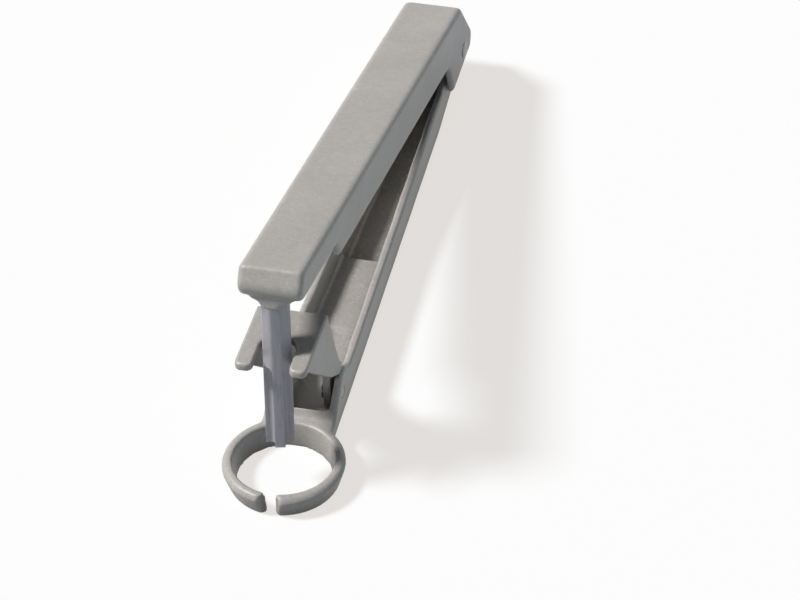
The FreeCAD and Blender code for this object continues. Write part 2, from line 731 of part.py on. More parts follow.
def spring_gap():
    """Least gap between the spring's wire and itself, measured on points along its path."""
    points = Part.Wire(spring_path()).discretize(Distance=WIRE_R)
    reach = int(math.pi * COIL_R / WIRE_R)
    least = min(
        points[index].distanceToPoint(other)
        for index in range(len(points))
        for other in points[index + reach:]
    )
    return least - 2 * WIRE_R


def return_spring():
    """Torsion spring on the hinge pin that opens the lever."""
    path = Part.Wire(spring_path())
    start = path.OrderedVertexes[0].Point
    way = (path.OrderedVertexes[1].Point - start).normalize()
    profile = Part.Wire(Part.makeCircle(WIRE_R, start, way))
    return path.makePipeShell([profile], True, False)


PIECES = {
    "lower_arm": lower_arm,
    "stripper_fork": stripper_fork,
    "fork_rivets": fork_rivets,
    "upper_lever": upper_lever,
    "punch": punch,
    "hinge_pin": hinge_pin,
    "hinge_washer": hinge_washer,
    "return_spring": return_spring,
}


def main():
    """Build each piece and write it to its own file."""
    os.makedirs("parts", exist_ok=True)
    for name, make in PIECES.items():
        shape = make()
        box = shape.BoundBox
        print(name, "solids", len(shape.Solids), "valid", shape.isValid(),
              "volume", round(shape.Volume, 1),
              "y", round(box.YMin, 2), round(box.YMax, 2), "z", round(box.ZMin, 2), round(box.ZMax, 2))
        shape.exportStep("parts/" + name + ".step")
    print("least gap of the spring to itself", round(spring_gap(), 3))


if __name__ == "__main__":
    main()
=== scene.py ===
"""Dresses the cherry pitter with lever: soft-edged castings, a drawn punch, steel hardware, a
wound spring, and a plain pale stage with the camera at the photograph's viewing angle.

Lengths are in metres, in the frame of the model: X to the right, Y from the cup ring to the
hinge, Z up, with the floor at zero.
"""

import json
import math

import bmesh
import bpy
import numpy as np
from bpy.props import FloatProperty, FloatVectorProperty, IntProperty, PointerProperty
from mathutils import Matrix, Vector


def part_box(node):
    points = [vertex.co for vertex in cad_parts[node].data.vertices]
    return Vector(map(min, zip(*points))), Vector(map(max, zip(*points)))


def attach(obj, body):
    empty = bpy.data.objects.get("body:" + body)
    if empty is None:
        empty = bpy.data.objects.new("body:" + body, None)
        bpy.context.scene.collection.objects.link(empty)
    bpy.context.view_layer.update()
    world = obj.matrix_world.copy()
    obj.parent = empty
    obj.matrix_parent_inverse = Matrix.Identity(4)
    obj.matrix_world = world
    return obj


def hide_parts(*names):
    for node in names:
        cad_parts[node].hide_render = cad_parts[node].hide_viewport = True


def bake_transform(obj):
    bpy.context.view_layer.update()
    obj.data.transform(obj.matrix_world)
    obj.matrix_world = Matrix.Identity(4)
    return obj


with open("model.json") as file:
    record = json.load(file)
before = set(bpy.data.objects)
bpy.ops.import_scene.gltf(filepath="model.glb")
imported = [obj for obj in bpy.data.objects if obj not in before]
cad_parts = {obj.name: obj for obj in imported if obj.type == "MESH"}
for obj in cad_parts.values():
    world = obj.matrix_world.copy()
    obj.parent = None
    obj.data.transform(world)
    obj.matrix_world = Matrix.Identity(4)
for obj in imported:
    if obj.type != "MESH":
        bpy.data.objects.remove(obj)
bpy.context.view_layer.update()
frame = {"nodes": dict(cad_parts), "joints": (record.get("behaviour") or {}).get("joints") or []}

bl_info = {
    "name": "Lever pitter dressing",
    "version": (1, 0, 0),
    "blender": (4, 5, 0),
    "location": "3D View > Sidebar > Pitter",
    "description": "Builds the finished pieces of a lever pitter round its frame",
    "category": "Object",
}

MM = 0.001
MIX_FIRST, MIX_SECOND, MIX_RESULT = 6, 7, 2
HINGE = Vector(frame["joints"][0]["pos_m"])
CLOSE_TRAVEL = math.radians(frame["joints"][0]["range_deg"][1])


class CastingSettings(bpy.types.PropertyGroup):
    """Shape and colours of the cast arm, fork and lever."""

    grid: FloatProperty(
        name="Skin grid", description="Spacing of the points on a cast skin",
        default=0.40 * MM, unit="LENGTH", precision=6,
    )
    rounding: IntProperty(
        name="Rounding", description="Smoothing passes that soften the cast edges",
        default=3, min=0, max=20,
    )
    waviness: FloatProperty(
        name="Waviness", description="Height of the slow waves of a cast face",
        default=0.02 * MM, unit="LENGTH", precision=6,
    )
    lacquer: FloatVectorProperty(
        name="Lacquer", description="Colour of the silver lacquer", subtype="COLOR",
        size=4, default=(0.50, 0.48, 0.455, 1.0),
    )
    # Also the colour of the painted highlight specks on the castings.
    worn: FloatVectorProperty(
        name="Worn edge", description="Colour of the metal where the edges are rubbed",
        subtype="COLOR", size=4, default=(0.80, 0.78, 0.75, 1.0),
    )
    # Painted shade: this dark colour is mixed into the recesses to stand in for the shade there,
    # not the lacquer's own colour.
    recess_shade: FloatVectorProperty(
        name="Recess", description="Colour of the lacquer deep in the recesses",
        subtype="COLOR", size=4, default=(0.075, 0.072, 0.065, 1.0),
    )


class PunchSettings(bpy.types.PropertyGroup):
    """Shape and colour of the punch."""

    reach: FloatProperty(
        name="Reach", description="Distance of the punch's root from the hinge along the lever",
        default=149.81 * MM, unit="LENGTH", precision=6,
    )
    rise: FloatProperty(
        name="Rise", description="Height of the punch's root above the hinge, square to the lever",
        default=5.9 * MM, unit="LENGTH", precision=6,
    )
    lever_angle: FloatProperty(
        name="Lever angle", description="Slope of the lever's top face at rest",
        default=math.radians(13.27), unit="ROTATION",
    )
    across_flats: FloatProperty(
        name="Across flats", description="Width of the eight-sided bar",
        default=6.3 * MM, unit="LENGTH", precision=6,
    )
    turn: FloatProperty(
        name="Turn", description="Turn of the flats about the punch's axis",
        default=math.radians(15.0), unit="ROTATION",
    )
    flute_radius: FloatProperty(
        name="Flute radius", description="Radius of the four grooves near the tip",
        default=1.3 * MM, unit="LENGTH", precision=6,
    )
    flute_length: FloatProperty(
        name="Flute length", description="Length of the four grooves",
        default=20.0 * MM, unit="LENGTH", precision=6,
    )
    dish_radius: FloatProperty(
        name="Dish radius", description="Radius of the hollow in the tip",
        default=6.0 * MM, unit="LENGTH", precision=6,
    )
    dish_depth: FloatProperty(
        name="Dish depth", description="Depth of the hollow in the tip",
        default=0.8 * MM, unit="LENGTH", precision=6,
    )
    corner_cut: FloatProperty(
        name="Corner cut", description="How far the eight corners are worn in",
        default=0.1 * MM, unit="LENGTH", precision=6,
    )
    corner_softness: FloatProperty(
        name="Corner softness", description="Length over which a flat turns into its corner",
        default=0.04 * MM, unit="LENGTH", precision=6,
    )
    embedded: FloatProperty(
        name="Embedded", description="Length of the bar inside the lever's nose",
        default=4.0 * MM, unit="LENGTH", precision=6,
    )
    bar: FloatVectorProperty(
        name="Bar", description="Colour of the drawn bar", subtype="COLOR",
        size=4, default=(0.44, 0.44, 0.475, 1.0),
    )
    worn: FloatVectorProperty(
        name="Worn corner", description="Colour of the bar where its corners are rubbed",
        subtype="COLOR", size=4, default=(0.72, 0.72, 0.74, 1.0),
    )


class HardwareSettings(bpy.types.PropertyGroup):
    """Sizes and colours of the pin, washer, rivets and spring."""

    pin_radius: FloatProperty(
        name="Pin radius", description="Radius of the hinge pin's shank",
        default=1.75 * MM, unit="LENGTH", precision=6,
    )
    rivet_radius: FloatProperty(
        name="Rivet radius", description="Radius of the fork's rivets",
        default=1.2 * MM, unit="LENGTH", precision=6,
    )
    rivet_seat: FloatProperty(
        name="Rivet seat", description="Distance of the rivet's inner head from the middle plane",
        default=3.77 * MM, unit="LENGTH", precision=6,
    )
    rivet_head: FloatProperty(
        name="Rivet head", description="Height of the rivet's inner head",
        default=0.5 * MM, unit="LENGTH", precision=6,
    )
    rivet_edge: FloatProperty(
        name="Rivet edge", description="Radius of the edge at the rivet's outer end",
        default=0.1 * MM, unit="LENGTH", precision=6,
    )
    washer_edge: FloatProperty(
        name="Washer edge", description="Radius of the washer's edges",
        default=0.12 * MM, unit="LENGTH", precision=6,
    )
    wire_radius: FloatProperty(
        name="Wire radius", description="Radius of the spring's wire",
        default=0.45 * MM, unit="LENGTH", precision=6,
    )
    coil_radius: FloatProperty(
        name="Coil radius", description="Radius of the spring's coil at the wire's middle",
        default=3.0 * MM, unit="LENGTH", precision=6,
    )
    coil_pitch: FloatProperty(
        name="Coil pitch", description="Advance of the spring in one turn",
        default=1.4 * MM, unit="LENGTH", precision=6,
    )
    leg: FloatProperty(
        name="Leg", description="Straight length of each leg of the spring",
        default=22.0 * MM, unit="LENGTH", precision=6,
    )
    leg_rise: FloatProperty(
        name="Leg rise", description="Height of the upper leg's end above the hinge's axis, "
        "square to the lever",
        default=11.1 * MM, unit="LENGTH", precision=6,
    )
    half_turns: IntProperty(
        name="Half turns", description="Half turns of the coil when both legs are level",
        default=7, min=1,
    )
    steel: FloatVectorProperty(
        name="Steel", description="Colour of the pin, washer and rivets", subtype="COLOR",
        size=4, default=(0.33, 0.335, 0.34, 1.0),
    )
    wire: FloatVectorProperty(
        name="Wire", description="Colour of the spring wire", subtype="COLOR",
        size=4, default=(0.34, 0.34, 0.36, 1.0),
    )
    worn: FloatVectorProperty(
        name="Worn steel", description="Colour of the steel where its edges are rubbed",
        subtype="COLOR", size=4, default=(0.68, 0.68, 0.68, 1.0),
    )


class StageSettings(bpy.types.PropertyGroup):
    """Camera, floor and light."""

    azimuth: FloatProperty(
        name="Azimuth", description="Camera's turn about the upright axis",
        default=math.radians(15.418), unit="ROTATION",
    )
    elevation: FloatProperty(
        name="Elevation", description="Camera's height angle",
        default=math.radians(40.599), unit="ROTATION",
    )
    roll: FloatProperty(
        name="Roll", description="Camera's turn about its own line of sight",
        default=math.radians(-2.433), unit="ROTATION",
    )
    distance: FloatProperty(
        name="Distance", description="Camera's distance from the point that it looks at",
        default=823.0 * MM, unit="LENGTH",
    )
    aim: FloatVectorProperty(
        name="Aim", description="Point that the camera looks at", subtype="XYZ",
        default=(20.46 * MM, -42.08 * MM, 31.85 * MM), unit="LENGTH",
    )
    lens: FloatProperty(
        name="Lens", description="Focal length on a frame 36 mm wide, in millimetres",
        default=166.85,
    )
    floor: FloatVectorProperty(
        name="Floor", description="Colour of the floor", subtype="COLOR",
        size=4, default=(0.31, 0.35, 0.39, 1.0),
    )
    floor_reach: FloatProperty(
        name="Floor reach", description="Half width of the floor", default=3.0, unit="LENGTH",
    )
    glow: FloatProperty(
        name="Glow", description="Light that the floor adds where it is seen directly",
        default=0.72,
    )
    glow_colour: FloatVectorProperty(
        name="Glow colour", description="Colour of the floor's added light", subtype="COLOR",
        size=4, default=(1.0, 0.96, 0.92, 1.0),
    )
    key: FloatProperty(
        name="Key", description="Strength of the key light", default=3.0,
    )
    key_side: FloatProperty(
        name="Key side", description="Key light's turn about the upright axis",
        default=math.radians(198.0), unit="ROTATION",
    )
    key_height: FloatProperty(
        name="Key height", description="Key light's height angle",
        default=math.radians(50.0), unit="ROTATION",
    )
    key_spread: FloatProperty(
        name="Key spread", description="Width of the key light as an angle",
        default=math.radians(12.0), unit="ROTATION",
    )
    key_colour: FloatVectorProperty(
        name="Key colour", description="Colour of the key light", subtype="COLOR",
        size=3, default=(1.0, 0.975, 0.95),
    )
    fill: FloatProperty(
        name="Fill", description="Strength of the cool fill light", default=0.22,
    )
    fill_side: FloatProperty(
        name="Fill side", description="Fill light's turn about the upright axis",
        default=math.radians(5.0), unit="ROTATION",
    )
    fill_height: FloatProperty(
        name="Fill height", description="Fill light's height angle",
        default=math.radians(8.0), unit="ROTATION",
    )
    fill_spread: FloatProperty(
        name="Fill spread", description="Width of the fill light as an angle",
        default=math.radians(60.0), unit="ROTATION",
    )
    fill_colour: FloatVectorProperty(
        name="Fill colour", description="Colour of the fill light", subtype="COLOR",
        size=3, default=(0.52, 0.78, 1.0),
    )
    sky: FloatProperty(
        name="Sky", description="Strength of the light from all round", default=0.09,
    )
    sky_colour: FloatVectorProperty(
        name="Sky colour", description="Colour of the light from all round", subtype="COLOR",
        size=4, default=(0.93, 0.96, 1.0, 1.0),
    )


def surface(name, points, round_rows=False, round_columns=False):
    """Mesh of quads on a grid of points, closed round in either way where asked."""
    rows, columns = points.shape[:2]
    index = np.arange(rows * columns).reshape(rows, columns)
    if round_columns:
        index = np.column_stack([index, index[:, :1]])
    if round_rows:
        index = np.vstack([index, index[:1]])
    quads = np.stack([index[:-1, :-1], index[:-1, 1:], index[1:, 1:], index[1:, :-1]], axis=-1)
    mesh = bpy.data.meshes.new(name)
    mesh.from_pydata(points.reshape(-1, 3), [], quads.reshape(-1, 4))
    close_up(mesh, 1e-7)
    return mesh


def close_up(mesh, distance):
    """Merge points that lie together, so that seams and poles close, and face outwards."""
    work = bmesh.new()
    work.from_mesh(mesh)
    bmesh.ops.remove_doubles(work, verts=work.verts, dist=distance)
    bmesh.ops.recalc_face_normals(work, faces=work.faces)
    work.to_mesh(mesh)
    work.free()


def placed(name, mesh, material):
    """Object in the scene with a mesh of one material."""
    mesh.materials.clear()
    mesh.materials.append(material)
    made = bpy.data.objects.new(name, mesh)
    bpy.context.scene.collection.objects.link(made)
    return made


def add_piece(name, mesh, body, material, nodes, crease=None):
    """Put a smooth mesh in the scene as a piece that rides a body and stands for nodes.

    Where a crease is given, edges sharper than that many degrees stay sharp.
    """
    mesh.shade_smooth()
    if crease is not None:
        mesh.set_sharp_from_angle(angle=math.radians(crease))
    piece = placed(name, mesh, material)
    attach(piece, body)
    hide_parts(*nodes)


def turned(profile, axis_point, steps=96):
    """Grid of a shape turned on an axis along X: each (x, radius) goes round in a circle."""
    profile = np.asarray(profile, float)
    angle = np.linspace(0, 2 * np.pi, steps, endpoint=False)
    x = np.repeat(profile[:, :1], steps, axis=1)
    y = axis_point[1] + profile[:, 1:] * np.cos(angle)
    z = axis_point[2] + profile[:, 1:] * np.sin(angle)
    return np.stack([x, y, z], axis=-1)


def arc_profile(x, radius, fillet, start, end, steps=8):
    """Points (x, radius) of a quarter of a circle round a corner, from one angle to another."""
    angle = np.radians(np.linspace(start, end, steps))
    return np.stack([x + fillet * np.cos(angle), radius + fillet * np.sin(angle)], axis=-1)


def domed_head(face, radius, height, outward, steps=14):
    """Profile of a low dome and its rim.

    The height falls by 0.55 of itself with the square of the radius's share, and by 0.25 with
    the eighth power, which rounds the edge.
    """
    share = np.linspace(0.0, 1.0, steps)
    dome = height * (1.0 - 0.55 * share ** 2 - 0.25 * share ** 8)
    x = face + outward * dome
    rim = np.array([[face, radius]])
    return np.vstack([np.stack([x, radius * share], axis=-1), rim])


def laplace(points, edges, passes):
    """Move each point halfway to the mean of its neighbours, several times over."""
    count = np.bincount(edges.ravel(), minlength=len(points)).astype(float)
    for _ in range(passes):
        total = np.zeros_like(points)
        for axis in range(3):
            value = points[:, axis]
            total[:, axis] = np.bincount(edges[:, 0], value[edges[:, 1]], len(points))
            total[:, axis] += np.bincount(edges[:, 1], value[edges[:, 0]], len(points))
        points = points + 0.5 * (total / count[:, None] - points)
    return points


def slow_waves(points, seed):
    """Sum of plane waves of 4 to 14 mm length in seeded directions, between -1 and 1."""
    random = np.random.default_rng(seed)
    waves = 9
    way = random.normal(size=(waves, 3))
    way /= np.linalg.norm(way, axis=1, keepdims=True)
    length = random.uniform(4.0, 14.0, waves) * MM
    phase = random.uniform(0, 2 * np.pi, waves)
    return np.sin(points @ (way / length[:, None]).T * 2 * np.pi + phase).mean(axis=1)


def cast_skin(node, grid, seed):
    """Mesh of a casting: the solid's faces on an even grid, smoothed as tumbling rounds them.

    Each point then moves along its normal by the slow waves times the waviness.
    """
    settings = bpy.context.scene.pitter_casting
    source = frame["nodes"][node].data.copy()
    close_up(source, 1e-6)
    holder = bpy.data.objects.new(node + "_source", source)
    bpy.context.scene.collection.objects.link(holder)
    remesh = holder.modifiers.new("even grid", "REMESH")
    remesh.mode = "VOXEL"
    remesh.voxel_size = grid
    graph = bpy.context.evaluated_depsgraph_get()
    mesh = bpy.data.meshes.new_from_object(holder.evaluated_get(graph))
    bpy.data.objects.remove(holder)
    count = len(mesh.vertices)
    points = np.empty(count * 3)
    mesh.vertices.foreach_get("co", points)
    edges = np.empty(len(mesh.edges) * 2, np.int64)
    mesh.edges.foreach_get("vertices", edges)
    points = laplace(points.reshape(-1, 3), edges.reshape(-1, 2), settings.rounding)
    mesh.vertices.foreach_set("co", points.ravel())
    mesh.update()
    normals = np.empty(count * 3)
    mesh.vertices.foreach_get("normal", normals)
    lift = slow_waves(points, seed) * settings.waviness
    points = points + normals.reshape(-1, 3) * lift[:, None]
    mesh.vertices.foreach_set("co", points.ravel())
    mesh.update()
    return mesh


def new_group(name, inputs, outputs):
    """Empty shader node group with float inputs (name, default) and outputs (name, type)."""
    group = bpy.data.node_groups.new(name, "ShaderNodeTree")
    for label, default in inputs:
        socket = group.interface.new_socket(label, in_out="INPUT", socket_type="NodeSocketFloat")
        socket.default_value = default
    for label, kind in outputs:
        group.interface.new_socket(label, in_out="OUTPUT", socket_type=kind)
    entry = group.nodes.new("NodeGroupInput")
    leave = group.nodes.new("NodeGroupOutput")
    return group, entry, leave


def node(tree, kind, **values):
    """Add a node and set its attributes, or its inputs where the name is an input's."""
    made = tree.nodes.new(kind)
    for key, value in values.items():
        label = key.replace("_", " ").title()
        if hasattr(made, key):
            setattr(made, key, value)
        else:
            made.inputs[label].default_value = value
    return made


def noise(tree, place, scale, detail, roughness):
    """Noise at a place, of a scale that is a number or a socket."""
    made = node(tree, "ShaderNodeTexNoise", detail=detail, roughness=roughness)
    tree.links.new(place, made.inputs["Vector"])
    link_or_set(tree, made.inputs["Scale"], scale)
    return made.outputs["Fac"]


def remap(tree, value, low, high, to_low, to_high):
    """Linear change of a value's range, held at both ends."""
    made = node(tree, "ShaderNodeMapRange", clamp=True)
    made.inputs["From Min"].default_value = low
    made.inputs["From Max"].default_value = high
    made.inputs["To Min"].default_value = to_low
    made.inputs["To Max"].default_value = to_high
    tree.links.new(value, made.inputs["Value"])
    return made.outputs["Result"]


def combine(tree, operation, first, second):
    """Arithmetic on two values, each a socket or a number."""
    made = node(tree, "ShaderNodeMath", operation=operation)
    link_or_set(tree, made.inputs[0], first)
    link_or_set(tree, made.inputs[1], second)
    return made.outputs[0]


def link_or_set(tree, socket, value):
    """Link a socket, or set a plain number or colour on it."""
    if isinstance(value, bpy.types.NodeSocket):
        tree.links.new(value, socket)
    else:
        socket.default_value = value


def object_place(tree):
    """Place in the object's own coordinates, so that a pattern stays with its piece."""
    return tree.nodes.new("ShaderNodeTexCoord").outputs["Object"]


def grain_group():
    """Grain of a cast and lacquered face: fine grains, clumps of them, and slow cloudiness; the
    Glint output marks scattered grains for painted highlight specks.
    """
    group, entry, leave = new_group(
        "cast grain",
        [("Grains", 2600.0), ("Amount", 0.1), ("Cloud", 0.08)],
        [("Tone", "NodeSocketFloat"), ("Height", "NodeSocketFloat"), ("Glint", "NodeSocketFloat")],
    )
    place = object_place(group)
    clumps = combine(group, "MULTIPLY", entry.outputs["Grains"], 0.28)
    fine = noise(group, place, entry.outputs["Grains"], 2.0, 0.65)
    clump = noise(group, place, clumps, 3.0, 0.6)
    cloud = noise(group, place, 70.0, 4.0, 0.55)
    fine_part = remap(group, fine, 0.3, 0.7, -0.6, 0.6)
    clump_part = remap(group, clump, 0.3, 0.7, -0.4, 0.4)
    grains = combine(group, "ADD", fine_part, clump_part)
    grain_tone = combine(group, "MULTIPLY", grains, entry.outputs["Amount"])
    cloud_part = remap(group, cloud, 0.3, 0.7, -1.0, 1.0)
    cloud_tone = combine(group, "MULTIPLY", cloud_part, entry.outputs["Cloud"])
    tone = combine(group, "ADD", combine(group, "ADD", grain_tone, cloud_tone), 1.0)
    group.links.new(tone, leave.inputs["Tone"])
    group.links.new(grains, leave.inputs["Height"])
    # Scattered cells for painted highlight specks that stand in for glints of light.
    glint_cells = group.nodes.new("ShaderNodeTexVoronoi")
    group.links.new(place, glint_cells.inputs["Vector"])
    group.links.new(entry.outputs["Grains"], glint_cells.inputs["Scale"])
    split = group.nodes.new("ShaderNodeSeparateColor")
    group.links.new(glint_cells.outputs["Color"], split.inputs["Color"])
    glint = remap(group, split.outputs["Red"], 0.86, 0.97, 0.0, 1.0)
    group.links.new(glint, leave.inputs["Glint"])
    return group


def scaled_mask(group, entry, level, broken):
    """A mask broken up by noise, times the group's own amount."""
    mask = combine(group, "MULTIPLY", level, broken)
    return combine(group, "MULTIPLY", mask, entry.outputs["Amount"])


def wear_group():
    """Rubbed edges: where the surface bends outwards, broken up by noise."""
    group, entry, leave = new_group(
        "edge wear", [("Amount", 0.6)], [("Mask", "NodeSocketFloat")],
    )
    bend = group.nodes.new("ShaderNodeNewGeometry").outputs["Pointiness"]
    edge = remap(group, bend, 0.505, 0.56, 0.0, 1.0)
    breakup = noise(group, object_place(group), 420.0, 4.0, 0.7)
    broken = remap(group, breakup, 0.35, 0.62, 0.25, 1.0)
    group.links.new(scaled_mask(group, entry, edge, broken), leave.inputs["Mask"])
    return group


def recess_shade_group():
    """Painted recess shade: darker where a place is closed in, from ambient occlusion, with a soft
    uneven edge.
    """
    group, entry, leave = new_group(
        "recess tone", [("Amount", 0.7)], [("Mask", "NodeSocketFloat")],
    )
    closed = node(group, "ShaderNodeAmbientOcclusion", samples=8)
    closed.inputs["Distance"].default_value = 9.0 * MM
    shade = remap(group, closed.outputs["AO"], 0.3, 0.88, 1.0, 0.0)
    breakup = noise(group, object_place(group), 160.0, 3.0, 0.6)
    broken = remap(group, breakup, 0.3, 0.7, 0.75, 1.0)
    group.links.new(scaled_mask(group, entry, shade, broken), leave.inputs["Mask"])
    return group


def lines_group():
    """Lines of a drawn or brushed metal: noise stretched along Z, as a tone and a height."""
    group, entry, leave = new_group(
        "drawn lines", [("Lines", 1800.0), ("Stretch", 0.02), ("Amount", 0.12)],
        [("Tone", "NodeSocketFloat"), ("Height", "NodeSocketFloat")],
    )
    split = group.nodes.new("ShaderNodeSeparateXYZ")
    group.links.new(object_place(group), split.inputs["Vector"])
    long = combine(group, "MULTIPLY", split.outputs["Z"], entry.outputs["Stretch"])
    join = group.nodes.new("ShaderNodeCombineXYZ")
    group.links.new(split.outputs["X"], join.inputs["X"])
    group.links.new(split.outputs["Y"], join.inputs["Y"])
    group.links.new(long, join.inputs["Z"])
    streak = noise(group, join.outputs["Vector"], entry.outputs["Lines"], 3.0, 0.6)
    level = remap(group, streak, 0.3, 0.7, -1.0, 1.0)
    tone = combine(group, "ADD", combine(group, "MULTIPLY", level, entry.outputs["Amount"]), 1.0)
    group.links.new(tone, leave.inputs["Tone"])
    group.links.new(level, leave.inputs["Height"])
    return group


GROUP_MAKERS = {
    "cast grain": grain_group,
    "edge wear": wear_group,
    "recess tone": recess_shade_group,
    "drawn lines": lines_group,
}


def placed_group(tree, name, **values):
    """Group node with its own values; the group itself is built once."""
    made = tree.nodes.new("ShaderNodeGroup")
    made.node_tree = bpy.data.node_groups.get(name) or GROUP_MAKERS[name]()
    for label, value in values.items():
        made.inputs[label].default_value = value
    return made


def toned(tree, colour, tone):
    """A colour times a tone value."""
    made = node(tree, "ShaderNodeMix", data_type="RGBA", blend_type="MULTIPLY")
    made.inputs["Factor"].default_value = 1.0
    link_or_set(tree, made.inputs[MIX_FIRST], colour)
    tree.links.new(tone, made.inputs[MIX_SECOND])
    return made.outputs[MIX_RESULT]


def blended(tree, first, second, mask):
    """Two colours mixed by a mask."""
    made = node(tree, "ShaderNodeMix", data_type="RGBA")
    tree.links.new(mask, made.inputs["Factor"])
    link_or_set(tree, made.inputs[MIX_FIRST], first)
    link_or_set(tree, made.inputs[MIX_SECOND], second)
    return made.outputs[MIX_RESULT]


def finish(tree, shader, height, dull, bump_strength, bump_distance):
    """Roughness between two values, and a bump, both from one height."""
    level = remap(tree, height, -1.0, 1.0, *dull)
    tree.links.new(level, shader.inputs["Roughness"])
    bump = node(tree, "ShaderNodeBump", strength=bump_strength, distance=bump_distance)
    tree.links.new(height, bump.inputs["Height"])
    tree.links.new(bump.outputs["Normal"], shader.inputs["Normal"])


def new_material(name):
    """Material with a Principled shader, its node tree and that shader."""
    material = bpy.data.materials.new(name)
    material.use_nodes = True
    tree = material.node_tree
    return material, tree, tree.nodes["Principled BSDF"]


def cast_material(name, grain, recess, rub):
    """Silver lacquer on an aluminium casting, with amounts of grain, painted shade in the recesses
    and wear; its bright grain specks are painted highlights.
    """
    settings = bpy.context.scene.pitter_casting
    material, tree, shader = new_material(name)
    grains = placed_group(tree, "cast grain", Grains=2000.0, Amount=grain, Cloud=0.06)
    wear = placed_group(tree, "edge wear", Amount=rub)
    closed = placed_group(tree, "recess tone", Amount=recess)
    colour = toned(tree, tuple(settings.lacquer), grains.outputs["Tone"])
    # Painted shade: the dark recess colour is mixed in where ambient occlusion finds the surface
    # closed in.
    colour = blended(tree, colour, tuple(settings.recess_shade), closed.outputs["Mask"])
    colour = blended(tree, colour, tuple(settings.worn), wear.outputs["Mask"])
    # Painted highlights: scattered specks mixed toward the worn colour, standing in for glints of
    # light on the cast surface.
    glints = remap(tree, grains.outputs["Glint"], 0.0, 1.0, 0.0, 0.18)
    colour = blended(tree, colour, tuple(settings.worn), glints)
    tree.links.new(colour, shader.inputs["Base Color"])
    shader.inputs["Metallic"].default_value = 0.06
    shader.inputs["Specular IOR Level"].default_value = 0.3
    finish(tree, shader, grains.outputs["Height"], (0.32, 0.48), 0.6, 0.04 * MM)
    return material


def bar_material():
    """Drawn aluminium bar."""
    settings = bpy.context.scene.pitter_punch
    material, tree, shader = new_material("drawn_bar")
    lines = placed_group(tree, "drawn lines", Lines=2200.0, Stretch=0.02, Amount=0.1)
    wear = placed_group(tree, "edge wear", Amount=0.5)
    colour = toned(tree, tuple(settings.bar), lines.outputs["Tone"])
    colour = blended(tree, colour, tuple(settings.worn), wear.outputs["Mask"])
    tree.links.new(colour, shader.inputs["Base Color"])
    shader.inputs["Metallic"].default_value = 0.1
    shader.inputs["Specular IOR Level"].default_value = 0.35
    finish(tree, shader, lines.outputs["Height"], (0.26, 0.4), 0.3, 0.02 * MM)
    return material


def steel_material(name, steel, dull):
    """Plain steel of a colour and a range of roughness, with a fine uneven surface."""
    if name in bpy.data.materials:
        return bpy.data.materials[name]
    settings = bpy.context.scene.pitter_hardware
    material, tree, shader = new_material(name)
    grains = placed_group(tree, "cast grain", Grains=3400.0, Amount=0.08, Cloud=0.1)
    wear = placed_group(tree, "edge wear", Amount=0.4)
    colour = toned(tree, tuple(steel), grains.outputs["Tone"])
    colour = blended(tree, colour, tuple(settings.worn), wear.outputs["Mask"])
    tree.links.new(colour, shader.inputs["Base Color"])
    shader.inputs["Metallic"].default_value = 0.5
    finish(tree, shader, grains.outputs["Height"], dull, 0.25, 0.02 * MM)
    return material


def punch_frame(settings):
    """Root of the punch and its downward direction: upright when the lever is closed."""
    slope = settings.lever_angle
    root = HINGE + Vector((
        0.0,
        -settings.reach * math.cos(slope) + settings.rise * math.sin(slope),
        settings.reach * math.sin(slope) + settings.rise * math.cos(slope),
    ))
    down = Vector((0.0, -math.sin(CLOSE_TRAVEL), -math.cos(CLOSE_TRAVEL)))
    return root, down


def punch_radius(angle, depth, length, settings):
    """Outline of the punch at an angle and a depth below its root.

    The flat side's distance over the cosine of the angle from the flat's middle, held to a
    rounded corner; near the tip each second flat has a groove, a circle centred on the flat.
    """
    half = settings.across_flats / 2
    off = (angle - settings.turn + np.pi / 8) % (np.pi / 4) - np.pi / 8
    corner = half / math.cos(np.pi / 8) - settings.corner_cut
    flat = half / np.cos(off)
    soft = settings.corner_softness
    radius = -np.logaddexp(-flat / soft, -corner / soft) * soft
    groove_off = (angle - settings.turn) % (np.pi / 2) - np.pi / 4
    above = np.maximum(0.0, (length - settings.flute_length) - depth)
    groove = np.sqrt(np.maximum(0.0, settings.flute_radius ** 2 - above ** 2))
    inside = groove ** 2 - (half * np.sin(groove_off)) ** 2
    cut = half * np.cos(groove_off) - np.sqrt(np.maximum(0.0, inside))
    return np.where(inside > 0, np.minimum(radius, cut), radius)


def punch_mesh():
    """The punch's outline carried down its axis, closed by the dished tip and a flat top."""
    settings = bpy.context.scene.pitter_punch
    root, down = punch_frame(settings)
    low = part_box("punch")[0]
    lean = settings.across_flats / 2 * math.sin(CLOSE_TRAVEL)
    length = (root.z - low.z - lean) / math.cos(CLOSE_TRAVEL)
    angle = np.linspace(0, 2 * np.pi, 192, endpoint=False)
    start = -settings.embedded
    margin = 2.5 * MM
    fluted = length - settings.flute_length - margin
    body = np.concatenate([
        np.linspace(start, fluted, 24, endpoint=False), np.linspace(fluted, length, 60),
    ])
    radius = punch_radius(angle[None, :], body[:, None], length, settings)
    share = np.linspace(1.0, 0.0, 14)[1:, None]
    tip_radius = radius[-1][None, :] * share
    dish = settings.dish_depth - (
        settings.dish_radius - np.sqrt(settings.dish_radius ** 2 - tip_radius ** 2)
    )
    tip_depth = length - np.maximum(0.0, dish)
    radius = np.vstack([np.zeros((1, angle.size)), radius, tip_radius])
    depth = np.vstack([
        np.full((1, angle.size), start),
        np.repeat(body[:, None], angle.size, axis=1),
        tip_depth,
    ])
    side = Vector((1.0, 0.0, 0.0))
    across = down.cross(side)
    points = (
        np.array(root)
        + depth[..., None] * np.array(down)
        + (radius * np.cos(angle))[..., None] * np.array(side)
        + (radius * np.sin(angle))[..., None] * -np.array(across)
    )
    return surface("punch_bar", points, round_columns=True)


